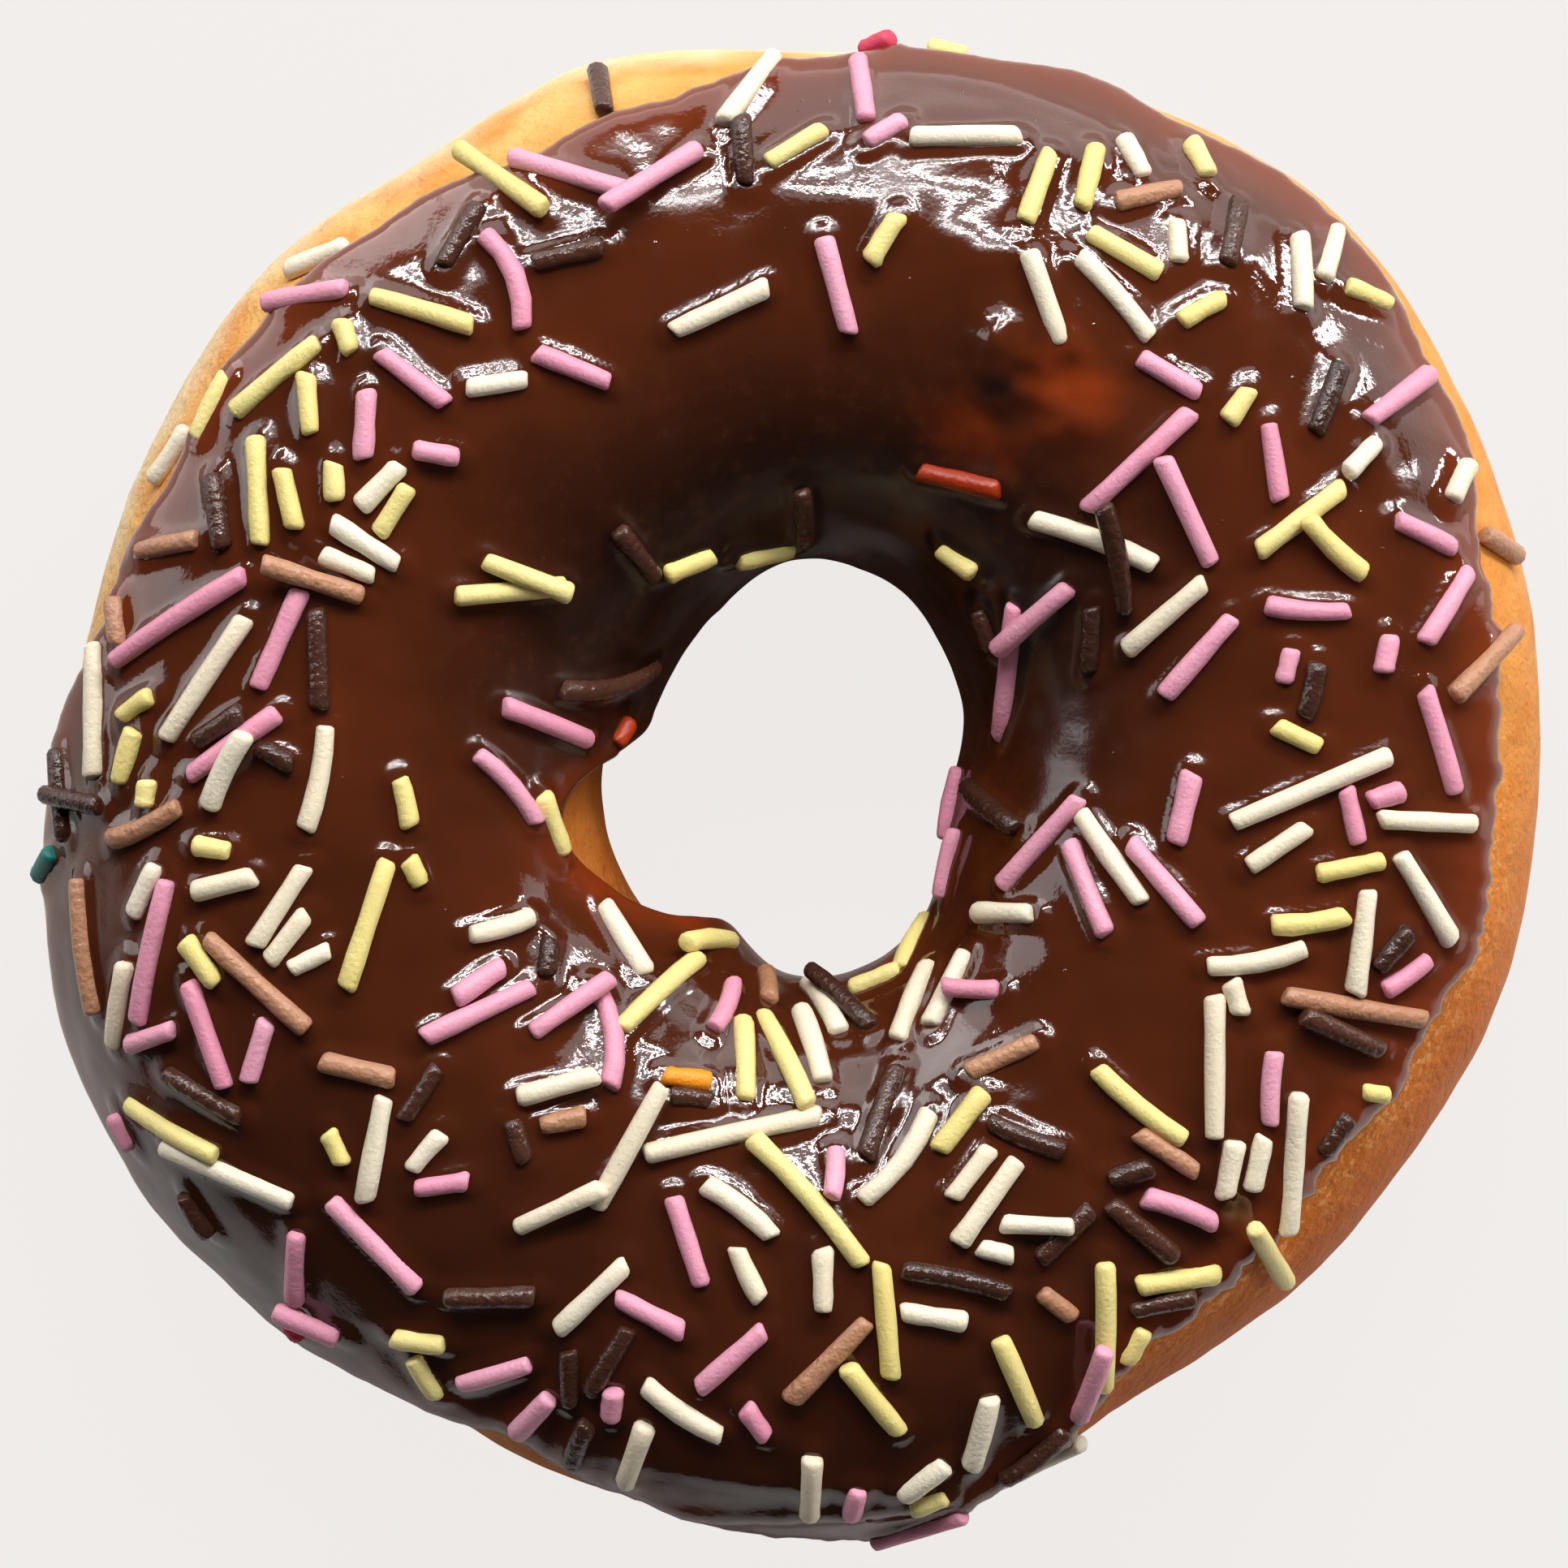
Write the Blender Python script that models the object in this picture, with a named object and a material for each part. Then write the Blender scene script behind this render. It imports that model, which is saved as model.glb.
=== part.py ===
"""A ring doughnut with dark chocolate icing and sugar sprinkles, lying flat and seen from above."""
import functools
import math
import random

import bmesh
import bpy
from mathutils import Vector

MM = 0.001

# Radii in millimetres at even steps, anticlockwise from +X.
DOUGH_RIM = (
    47.4, 48.4, 49.1, 50.2, 49.0, 47.6, 46.6, 47.5, 46.1, 46.7, 46.0, 45.5,
    45.6, 46.7, 46.5, 45.3, 45.3, 46.0, 46.2, 46.0, 44.4, 45.1, 45.8, 47.0,
)
DOUGH_HOLE = (
    12.2, 14.1, 15.0, 16.6, 15.8, 14.0, 12.4, 12.0,
    12.0, 12.0, 12.2, 11.8, 13.7, 14.3, 13.9, 12.1,
)
HALF_HEIGHT = 16.0
FLAT_SHARE = 0.95
SECTION_POWER = 0.9

# The icing stops at these leans: 0 faces outward, 90 faces up and 180 faces the hole.
ICING_OUTER_EDGE = (
    43, 43, 34, 30, 30, 28, 35, 50, 44, 42, 40, 34,
    15, 10, 5, 8, 28, 32, 18, 25, 42, 48, 48, 44,
)
ICING_INNER_EDGE = (198, 200, 198, 168, 190, 192, 148, 154, 182, 200, 200, 198)
ICING_THICKNESS = 1.5
ICING_LIP = 0.55
JOINT_GAP = 0.35
EDGE_WAVE = 2.0

# Swells of the icing: direction and lean in degrees, rise in millimetres, spread in degrees.
SWELLS = (
    (57, 96, 0.7, 12),
    (66, 84, 0.8, 7),
    (204, 146, -0.5, 14),
    (262, 44, 0.5, 16),
    (285, 30, 0.4, 14),
    (128, 60, 0.4, 18),
    (20, 70, 0.3, 22),
)
RIPPLE = 0.16

STEPS_AROUND = 60
WELD = 0.001
STEPS_COVERED = 12
FLAT_LEANS = (252, 270, 288)
STEPS_HOLE_WALL = 2
STEPS_OUTER_WALL = 8

# Sprinkles in each twelfth of the ring, anticlockwise from +X, on its outer and its inner half.
OUTER_COUNTS = (13, 16, 11, 8, 15, 22, 22, 15, 14, 19, 17, 16)
INNER_COUNTS = (4, 7, 3, 3, 3, 5, 5, 10, 12, 12, 7, 8)
KIND_SHARES = {"pink": 70, "cream": 60, "yellow": 52, "dark": 56, "milk": 22}
LENGTHS = {
    "pink": (2.0, 5.8),
    "cream": (2.2, 6.4),
    "yellow": (1.5, 5.4),
    "dark": (2.2, 5.8),
    "milk": (2.0, 5.6),
}
SPRINKLE_RADIUS = 0.65
SPRINKLE_SINK = 0.28
SPRINKLE_SIDES = 6
STRAIGHT_SHARE = 0.06
EDGE_MARGIN = 7.0
DEEPEST_LEAN = 158
FUSED_LIMIT = 188
MOST_SLOPE = 0.3
STEEPEST_BED = 0.35
LEAST_SEEN = 0.8
CROSSING_SHARE = 0.3
CRUST_MARGIN = 3.5
BENDS = (-0.06, 0.0, 0.0, 0.0, 0.0, 0.0, 0.07)
TRIES = 40
DRAPE = 0.6
MOST_FALLING = 0.1
REST_SHARE = 0.9
SEED = 12

# Sprinkles that stand out: kind, x and y in millimetres, heading in degrees, length and bend.
LANDMARKS = (
    ("cream", -3.6, -21.5, 12, 11.0, 0.0),
    ("cream", 31.7, -0.1, 23, 10.6, 0.0),
    ("yellow", 1.2, -25.3, 132, 10.3, 0.02),
    ("pink", -37.4, 10.3, 32, 9.9, 0.0),
    ("cream", -35.6, 6.6, 56, 9.0, 0.0),
    ("pink", -38.9, -10.0, 77, 9.0, 0.0),
    ("milk", 34.3, -13.4, 170, 9.0, 0.0),
    ("cream", -34.3, -23.4, 158, 8.9, 0.02),
    ("cream", 25.8, -17.0, 90, 8.8, 0.0),
    ("cream", 30.6, -22.9, 87, 8.8, 0.0),
    ("pink", 21.3, 20.0, 43, 8.8, 0.0),
    ("cream", -42.6, 4.7, 90, 8.4, 0.0),
    ("cream", -9.9, -22.1, 61, 8.5, 0.0),
    ("milk", -32.4, -11.9, 138, 8.4, 0.0),
    ("yellow", -25.9, -8.4, 72, 8.3, 0.0),
    ("cream", 18.8, 15.4, 159, 8.1, 0.03),
    ("yellow", 19.1, -32.9, 90, 8.1, 0.0),
    ("yellow", 29.3, -28.6, 123, 8.1, 0.0),
    ("pink", -13.4, 37.2, 162, 7.9, 0.0),
    ("pink", -25.3, -27.8, 134, 7.7, 0.0),
    ("pink", -8.4, 36.7, 38, 7.5, 0.0),
    ("pink", -19.2, -13.8, 25, 7.3, 0.0),
    ("pink", 24.2, 16.9, 115, 7.3, 0.0),
    ("pink", 15.8, -3.5, 49, 7.3, 0.0),
    ("yellow", 5.8, -32.4, 95, 7.2, 0.0),
    ("yellow", -17.6, 36.9, 143, 7.0, 0.0),
    ("yellow", 21.2, -19.5, 141, 7.0, -0.04),
    ("pink", -35.4, -15.0, 109, 6.9, 0.0),
    ("cream", 6.9, -23.0, 52, 6.9, 0.09),
    ("milk", 2.3, -34.8, 46, 6.9, 0.0),
    ("cream", 10.6, 39.5, 1, 6.8, 0.0),
    ("yellow", -31.1, 24.8, 39, 6.8, 0.0),
    ("pink", -33.9, 2.6, 35, 6.8, 0.0),
    ("yellow", -8.2, -12.9, 42, 6.7, 0.0),
    ("cream", 19.7, 29.8, 131, 6.7, 0.03),
    ("yellow", 31.0, 16.3, 37, 6.7, 0.0),
    ("yellow", -22.3, 28.8, 163, 6.6, 0.0),
    ("yellow", -0.4, -17.3, 114, 6.6, 0.0),
    ("cream", -28.7, 0.5, 79, 6.5, 0.05),
    ("cream", -4.3, 29.2, 25, 6.5, 0.0),
    ("pink", -16.7, 31.0, 112, 6.4, 0.16),
    ("pink", -11.0, -15.4, 99, 6.3, 0.12),
    ("pink", 2.8, 30.6, 105, 6.1, 0.0),
    ("cream", -2.5, 42.6, 55, 5.6, 0.0),
    ("pink", -22.9, 24.8, 142, 5.2, 0.0),
    ("pink", -3.6, -34.7, 42, 5.5, 0.0),
    ("pink", 10.7, -1.1, 0, 4.6, 0.0),
    ("pink", 10.4, -5.0, 175, 4.4, 0.0),
    ("yellow", 8.2, -10.3, 50, 4.4, 0.0),
    ("yellow", 5.6, -12.6, 168, 3.4, 0.0),
    ("orange", -6.5, -18.2, 172, 3.0, 0.0),
    ("teal", -46.0, -4.8, 55, 2.7, 0.0),
    ("crimson", -30.4, -33.2, 135, 1.4, 0.0),
    ("dark", -12.0, 44.2, 100, 4.2, 0.0),
    ("cream", -30.0, 33.6, 20, 4.2, 0.0),
    ("cream", -39.4, 21.1, 55, 4.0, 0.05),
    ("milk", 45.3, 15.4, 152, 3.6, 0.0),
    ("pink", 7.8, -45.1, 20, 6.0, 0.0),
    ("cream", 15.5, -42.2, 30, 6.0, 0.03),
    ("crimson", 5.5, 45.9, 160, 2.0, 0.0),
    ("yellow", 9.8, 45.9, 170, 2.4, 0.0),
    ("amber", 10.6, 19.1, 166, 5.2, 0.0),
    ("amber", -11.2, 3.6, 60, 1.6, 0.0),
    ("pink", 25.0, 8.0, 49, 6.4, 0.0),
    ("cream", 23.0, 10.5, 41, 6.4, 0.0),
    ("cream", 19.9, -4.4, 124, 6.6, 0.0),
    ("pink", 37.2, 23.9, 37, 5.3, 0.0),
    ("milk", 42.2, 7.6, 45, 6.1, 0.0),
    ("milk", -43.3, -9.8, 97, 8.5, 0.0),
    ("pink", 14.1, 7.4, 86, 8.3, 0.0),
    ("dark", -11.4, 6.4, 15, 7.4, 0.04),
    ("dark", 20.4, 14.2, 98, 7.1, 0.04),
    ("dark", 10.1, -29.9, 168, 6.8, 0.04),
    ("yellow", -32.3, 18.0, 93, 6.7, 0.0),
    ("yellow", -17.3, 12.1, 6, 6.7, 0.0),
    ("pink", 39.3, 2.8, 107, 6.7, 0.0),
    ("pink", -31.1, 9.0, 66, 6.6, 0.0),
    ("yellow", -37.7, -20.9, 154, 6.6, 0.0),
    ("cream", -25.3, -22.0, 79, 6.6, 0.0),
    ("cream", 34.6, -9.4, 83, 6.5, 0.0),
    ("pink", 23.0, -5.9, 130, 6.5, 0.0),
    ("milk", -29.0, 12.6, 162, 6.5, 0.0),
    ("cream", 38.5, -6.7, 122, 6.4, 0.0),
    ("dark", -28.8, 7.8, 92, 6.2, 0.0),
    ("pink", 18.5, -6.3, 111, 6.1, 0.0),
    ("cream", -12.1, -31.0, 44, 6.0, 0.0),
    ("yellow", 13.8, -36.1, 113, 6.0, 0.0),
    ("pink", -15.3, 4.0, 158, 5.8, 0.0),
    ("yellow", 5.0, -37.0, 127, 5.6, 0.0),
    ("pink", 15.5, 10.7, 43, 5.4, 0.0),
    ("yellow", -16.4, 13.1, 161, 5.4, 0.0),
    ("pink", -29.3, 29.7, 8, 5.3, 0.0),
    ("cream", 10.1, -12.9, 63, 5.1, 0.0),
    ("cream", -14.3, -18.4, 14, 5.1, 0.0),
    ("cream", 7.8, -13.7, 67, 5.0, 0.0),
    ("yellow", -5.5, -10.5, 17, 4.9, 0.0),
    ("pink", -13.3, 25.6, 158, 4.9, 0.0),
    ("yellow", 15.0, 36.4, 70, 4.8, 0.0),
    ("yellow", 18.1, 37.0, 76, 4.1, 0.0),
    ("dark", -2.9, 38.6, 94, 4.0, 0.0),
    ("cream", 13.6, -8.0, 0, 3.9, 0.0),
    ("dark", -9.7, 14.7, 128, 3.8, 0.0),
    ("yellow", -1.8, 15.2, 14, 3.5, 0.0),
    ("yellow", -6.6, 14.3, 23, 3.3, 0.0),
)

COLOURS = {"dough": (0.80, 0.50, 0.22, 1.0), "icing": (0.055, 0.018, 0.010, 1.0)}


def clear_scene():
    for thing in list(bpy.data.objects):
        bpy.data.objects.remove(thing, do_unlink=True)


def closed_curve(values, turn):
    """A smooth closed curve through even steps of a full turn, read at any share of it."""
    place = (turn % 1.0) * len(values)
    first = int(place)
    part = place - first
    before, start, end, after = (values[(first + step) % len(values)] for step in (-1, 0, 1, 2))
    rising = end - before
    bending = 2 * before - 5 * start + 4 * end - after
    turning = 3 * start - before - 3 * end + after
    return 0.5 * (2 * start + part * (rising + part * (bending + part * turning)))


@functools.cache
def section(turn):
    """The middle radius and half width of the ring's section."""
    rim = closed_curve(DOUGH_RIM, turn)
    hole = closed_curve(DOUGH_HOLE, turn)
    return (rim + hole) / 2, (rim - hole) / 2


def squared(value):
    return math.copysign(abs(value) ** SECTION_POWER, value)


def skin(turn, lean, raised=0.0):
    """The point raised above the dough at a share of a turn and a lean in degrees."""
    middle, half_width = section(turn)
    across = (half_width + raised) * squared(math.cos(math.radians(lean)))
    up = (HALF_HEIGHT + raised) * squared(math.sin(math.radians(lean)))
    up = max(up, -FLAT_SHARE * HALF_HEIGHT)
    around = math.tau * turn
    radius = middle + across
    return Vector((radius * math.cos(around), radius * math.sin(around), up + FLAT_SHARE * HALF_HEIGHT))


@functools.cache
def outer_edge(turn):
    wave = EDGE_WAVE * math.sin(math.tau * 23 * turn) * math.sin(math.tau * 4 * turn)
    return closed_curve(ICING_OUTER_EDGE, turn) + wave


@functools.cache
def inner_edge(turn):
    wave = EDGE_WAVE * math.sin(math.tau * 9 * turn)
    return closed_curve(ICING_INNER_EDGE, turn) + wave


def swell(turn, lean):
    """How far the icing stands above its even thickness."""
    rise = RIPPLE * math.sin(math.tau * 5 * turn + math.radians(2 * lean))
    for direction, middle_lean, height, spread in SWELLS:
        around = (360 * turn - direction + 180) % 360 - 180
        rise += height * math.exp(-(around ** 2 + (lean - middle_lean) ** 2) / spread ** 2)
    return rise


def icing_top(turn, lean):
    """The height of the icing's outer skin above the dough, with a round lip at its edges."""
    from_edge = min(lean - outer_edge(turn), inner_edge(turn) - lean)
    share = max(0.0, min(1.0, from_edge / EDGE_MARGIN))
    lip = math.sqrt(1 - (1 - share) ** 2)
    full = ICING_THICKNESS + swell(turn, lean)
    return JOINT_GAP + ICING_LIP + (full - ICING_LIP) * lip


def icing_point(turn, lean):
    return skin(turn, lean, icing_top(turn, lean))


def covered_leans(turn):
    """Leans under the icing, closer together where its lips are."""
    start, end = outer_edge(turn), inner_edge(turn)
    inside = end - start - 2 * EDGE_MARGIN
    steps = STEPS_COVERED - 2
    middle = [start + EDGE_MARGIN + inside * step / steps for step in range(steps + 1)]
    return [start, *middle, end]


def between(start, end, steps):
    return [start + (end - start) * step / steps for step in range(1, steps)]


def bare_leans(turn):
    """Leans from the icing's inner edge round under the ring to its outer edge."""
    hole_wall = between(inner_edge(turn), FLAT_LEANS[0], STEPS_HOLE_WALL)
    outer_wall = between(FLAT_LEANS[-1], outer_edge(turn) + 360, STEPS_OUTER_WALL)
    return [*hole_wall, *FLAT_LEANS, *outer_wall]


def ring_mesh(name, section_at):
    """A closed ring whose section at each share of a turn is a loop of points."""
    rows = len(section_at(0.0))
    shape = bmesh.new()
    bmesh.ops.create_grid(shape, x_segments=STEPS_AROUND, y_segments=rows, size=0.5)
    sections = [section_at(step / STEPS_AROUND) for step in range(STEPS_AROUND)]
    for vert in shape.verts:
        step = round((vert.co.x + 0.5) * STEPS_AROUND) % STEPS_AROUND
        row = round((vert.co.y + 0.5) * rows) % rows
        vert.co = sections[step][row] * MM
    bmesh.ops.remove_doubles(shape, verts=shape.verts, dist=WELD * MM)
    bmesh.ops.triangulate(shape, faces=shape.faces, quad_method="FIXED")
    bmesh.ops.recalc_face_normals(shape, faces=shape.faces)
    return object_from(name, shape)


def object_from(name, shape):
    mesh = bpy.data.meshes.new(name)
    shape.to_mesh(mesh)
    shape.free()
    for face in mesh.polygons:
        face.use_smooth = True
    return bpy.data.objects.new(name, mesh)


def dough_section(turn):
    leans = covered_leans(turn) + bare_leans(turn)
    return [skin(turn, lean) for lean in leans]


def icing_section(turn):
    leans = covered_leans(turn)
    outside = [icing_point(turn, lean) for lean in leans]
    inside = [skin(turn, lean, JOINT_GAP) for lean in reversed(leans)]
    return outside + inside


def surface_frame(bed, turn, lean):
    """A point on a surface with its outward, around and across directions."""
    step = 0.004
    point = bed(turn, lean)
    around = (bed(turn + step, lean) - bed(turn - step, lean)).normalized()
    across = bed(turn, lean + 360 * step) - bed(turn, lean - 360 * step)
    outward = around.cross(across).normalized()
    return point, outward, around, outward.cross(around)


def place_above(x, y, thickness=ICING_THICKNESS):
    """The share of a turn and the lean of the surface seen from above at x and y."""
    turn = math.atan2(y, x) / math.tau % 1.0
    middle, half_width = section(turn)
    reach = (math.hypot(x, y) - middle) / (half_width + thickness)
    reach = max(-1.0, min(1.0, reach))
    straight = math.copysign(abs(reach) ** (1 / SECTION_POWER), reach)
    return turn, math.degrees(math.acos(straight))


class Sprinkle:
    """A rod on the icing or the crust, with its heading and length as seen from above."""

    def __init__(self, kind, place, heading, length, bend, radius):
        turn, lean = place
        self.on_crust = lean < outer_edge(turn) - CRUST_MARGIN
        self.bed = skin if self.on_crust else icing_point
        point, self.outward, around, across = surface_frame(self.bed, turn, lean)
        if self.outward.z > STEEPEST_BED:
            along = Vector((math.cos(heading), math.sin(heading), 0.0))
            along.z = -along.dot(self.outward) / self.outward.z
        else:
            along = around * math.cos(heading) + across * math.sin(heading)
        self.kind = kind
        self.turn = turn
        self.lean = lean
        self.along = along.normalized()
        self.length = length / max(LEAST_SEEN, self.along.xy.length)
        self.radius = radius
        self.aside = self.outward.cross(self.along)
        self.middle = point + self.outward * (radius - SPRINKLE_SINK)
        self.curve = self.aside * bend
        falling = self.falling()
        drape = DRAPE if on_icing(self) else 0.0
        self.curve -= self.outward * falling * drape
        self.hover = falling * (1 - drape) * self.length ** 2 / 8

    def falling(self):
        """How fast the surface falls away from a straight line along the rod."""
        reach = 2.0
        falls = []
        for side in (-reach, reach):
            x, y, _ = self.middle + self.along * side
            below = self.bed(*place_above(x, y))
            falls.append((self.middle - below).dot(self.outward))
        fall = sum(falls) / 2 + SPRINKLE_SINK - self.radius
        return max(0.0, min(MOST_FALLING, 2 * fall / reach ** 2))

    def at(self, share):
        """The centre line at a share from one end to the other."""
        reach = (share - 0.5) * self.length
        return self.middle + self.along * reach + self.curve * (reach * reach / 2)

    def direction(self, share):
        return (self.along + self.curve * ((share - 0.5) * self.length)).normalized()

    def settle(self, others):
        """Tilt the rod up until it rests on those it crosses. False if that needs too steep a tilt."""
        rises = {-1: 0.0, 1: 0.0}
        for other in others:
            if (other.middle - self.middle).length > (other.length + self.length) / 2 + 2:
                continue
            for step in range(13):
                apart = other.at(step / 12) - self.middle
                along, aside, up = apart.dot(self.along), apart.dot(self.aside), apart.dot(self.outward)
                touch = (other.radius + self.radius) * REST_SHARE
                if abs(aside) > touch or abs(along) > self.length / 2 + other.radius:
                    continue
                needed = up + math.sqrt(touch * touch - aside * aside) + self.hover
                for side in rises:
                    arm = max(0.2, self.length / 2 + side * along)
                    rises[side] = max(rises[side], needed / arm)
        side = min(rises, key=rises.get)
        slope = rises[side]
        if slope > MOST_SLOPE:
            return False
        if slope > 0:
            self.middle += self.outward * (slope * self.length / 2 - self.hover)
            self.along = (self.along + self.outward * (slope * side)).normalized()
            self.outward = self.along.cross(self.aside)
        return True


def rod_point(sprinkle, share, aside, up):
    """A point beside the sprinkle's centre line, in millimetres."""
    forward = sprinkle.direction(share)
    side = sprinkle.outward.cross(forward).normalized()
    return sprinkle.at(share) + side * aside + forward.cross(side) * up


def on_icing(sprinkle):
    """True if both ends of the rod lie over the icing."""
    for share in (0.0, 1.0):
        x, y, _ = sprinkle.at(share)
        if math.hypot(x, y) > section(sprinkle.turn)[0] + section(sprinkle.turn)[1] + 0.6:
            return False
        turn, lean = place_above(x, y)
        if not outer_edge(turn) + EDGE_MARGIN / 2 < lean < inner_edge(turn) - EDGE_MARGIN / 2:
            return False
    return True


def landmark_sprinkles():
    found = []
    for kind, x, y, heading, length, bend in LANDMARKS:
        sprinkle = Sprinkle(kind, place_above(x, y), math.radians(heading), length, bend, SPRINKLE_RADIUS)
        sprinkle.settle(found)
        found.append(sprinkle)
    return found


def cell_of(sprinkle):
    return int(sprinkle.turn * len(OUTER_COUNTS)), sprinkle.lean < 90


def free_cells(found):
    """One entry for each sprinkle still to be scattered: its twelfth and its half."""
    cells = []
    for outer, counts in ((True, OUTER_COUNTS), (False, INNER_COUNTS)):
        for twelfth, count in enumerate(counts):
            taken = sum(cell_of(sprinkle) == (twelfth, outer) for sprinkle in found)
            cells += [(twelfth, outer)] * max(0, count - taken)
    return cells


def draw_place(draw, cell):
    twelfth, outer = cell
    turn = (twelfth + draw.random()) / len(OUTER_COUNTS)
    start = outer_edge(turn) + EDGE_MARGIN if outer else 90.0
    end = 90.0 if outer else min(DEEPEST_LEAN, inner_edge(turn) - EDGE_MARGIN)
    return turn, start + (end - start) * draw.random()


def scattered_sprinkles():
    """All the sprinkles: those that stand out, then the drawn ones from the longest down."""
    draw = random.Random(SEED)
    found = landmark_sprinkles()
    cells = free_cells(found)
    draw.shuffle(cells)
    kinds = draw.choices(list(KIND_SHARES), KIND_SHARES.values(), k=len(cells))
    sizes = [(draw.uniform(*LENGTHS[kind]), kind) for kind in kinds]
    for (length, kind), cell in zip(sorted(sizes, reverse=True), cells):
        bend = draw.choice(BENDS)
        radius = SPRINKLE_RADIUS * draw.uniform(0.92, 1.08)
        crossing = draw.random() < CROSSING_SHARE
        for _ in range(TRIES):
            place = draw_place(draw, cell)
            sprinkle = Sprinkle(kind, place, draw.uniform(0, math.pi), length, bend, radius)
            resting = sprinkle.middle.copy()
            if not on_icing(sprinkle) or not sprinkle.settle(found):
                continue
            if crossing or (sprinkle.middle - resting).length < 0.05:
                found.append(sprinkle)
                break
    return found


def rod_mesh(sprinkle):
    """A rod with flat ends, bent along its sprinkle's centre line."""
    shape = bmesh.new()
    width = sprinkle.radius
    bmesh.ops.create_cone(
        shape, cap_ends=True, segments=SPRINKLE_SIDES, radius1=width, radius2=width, depth=1,
    )
    if sprinkle.curve.length * sprinkle.length / 8 > STRAIGHT_SHARE:
        whole = shape.verts[:] + shape.edges[:] + shape.faces[:]
        bmesh.ops.bisect_plane(shape, geom=whole, plane_no=(0, 0, 1))
    for vert in shape.verts:
        vert.co = rod_point(sprinkle, vert.co.z + 0.5, vert.co.y, vert.co.x) * MM
    bmesh.ops.recalc_face_normals(shape, faces=shape.faces)
    return object_from("sprinkle", shape)


def drop_scraps(mesh):
    """Keep the largest connected piece of the mesh."""
    shape = bmesh.new()
    shape.from_mesh(mesh)
    unseen = set(shape.verts)
    pieces = []
    while unseen:
        piece = set()
        edge_of_piece = [unseen.pop()]
        while edge_of_piece:
            vert = edge_of_piece.pop()
            piece.add(vert)
            near = {edge.other_vert(vert) for edge in vert.link_edges} & unseen
            unseen -= near
            edge_of_piece += near
        pieces.append(piece)
    kept = max(pieces, key=len)
    scraps = [vert for vert in shape.verts if vert not in kept]
    bmesh.ops.delete(shape, geom=scraps, context="VERTS")
    shape.to_mesh(mesh)
    shape.free()


def fuse(body, sprinkles):
    """One union of a body with a collection of its sprinkles."""
    rods = bpy.data.collections.new("rods")
    bpy.context.scene.collection.children.link(rods)
    for sprinkle in sprinkles:
        rods.objects.link(rod_mesh(sprinkle))
    union = body.modifiers.new("sprinkles", "BOOLEAN")
    union.operation = "UNION"
    union.operand_type = "COLLECTION"
    union.collection = rods
    union.solver = "EXACT"
    bpy.context.view_layer.update()
    fused = bpy.data.meshes.new_from_object(body.evaluated_get(bpy.context.evaluated_depsgraph_get()))
    drop_scraps(fused)
    body.modifiers.remove(union)
    body.data = fused
    for rod in list(rods.objects):
        bpy.data.objects.remove(rod, do_unlink=True)
    bpy.data.collections.remove(rods)


def paint(thing, name, roughness):
    material = bpy.data.materials.new(name)
    material.use_nodes = True
    shader = material.node_tree.nodes["Principled BSDF"]
    shader.inputs["Base Color"].default_value = COLOURS[name]
    shader.inputs["Roughness"].default_value = roughness
    thing.data.materials.clear()
    thing.data.materials.append(material)


def main():
    clear_scene()
    dough = ring_mesh("dough", dough_section)
    icing = ring_mesh("icing", icing_section)
    for thing in (dough, icing):
        bpy.context.scene.collection.objects.link(thing)
    sprinkles = scattered_sprinkles()
    fuse(dough, [sprinkle for sprinkle in sprinkles if sprinkle.on_crust])
    fuse(icing, [sprinkle for sprinkle in sprinkles if not sprinkle.on_crust][:FUSED_LIMIT])
    icing.parent = dough
    paint(dough, "dough", 0.6)
    paint(icing, "icing", 0.2)


main()
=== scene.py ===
"""The looks of the sprinkle frosted doughnut, with its floor, lights, room and camera."""
import functools
import math
import random

import bmesh
import bpy
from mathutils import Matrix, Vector, noise
from mathutils.kdtree import KDTree


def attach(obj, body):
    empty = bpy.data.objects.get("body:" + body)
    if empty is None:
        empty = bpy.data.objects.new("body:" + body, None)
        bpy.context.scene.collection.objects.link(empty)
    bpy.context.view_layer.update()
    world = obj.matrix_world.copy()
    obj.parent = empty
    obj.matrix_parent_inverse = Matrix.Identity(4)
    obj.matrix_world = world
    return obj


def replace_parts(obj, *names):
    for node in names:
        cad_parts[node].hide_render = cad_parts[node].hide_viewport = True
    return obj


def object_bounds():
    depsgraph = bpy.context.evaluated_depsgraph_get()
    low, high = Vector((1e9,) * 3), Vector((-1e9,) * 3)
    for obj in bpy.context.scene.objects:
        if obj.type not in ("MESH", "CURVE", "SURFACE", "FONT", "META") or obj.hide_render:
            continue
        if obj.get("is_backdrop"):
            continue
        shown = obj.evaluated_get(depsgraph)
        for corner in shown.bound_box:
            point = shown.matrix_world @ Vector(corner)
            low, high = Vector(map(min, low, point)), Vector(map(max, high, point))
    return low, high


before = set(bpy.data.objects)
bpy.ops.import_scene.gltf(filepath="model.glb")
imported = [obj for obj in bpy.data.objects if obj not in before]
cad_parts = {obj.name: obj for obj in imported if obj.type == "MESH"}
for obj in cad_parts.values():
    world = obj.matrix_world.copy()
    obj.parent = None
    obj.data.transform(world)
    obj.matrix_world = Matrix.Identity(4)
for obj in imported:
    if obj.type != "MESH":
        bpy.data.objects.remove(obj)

CAD_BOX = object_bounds()
MM = 0.001

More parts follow.
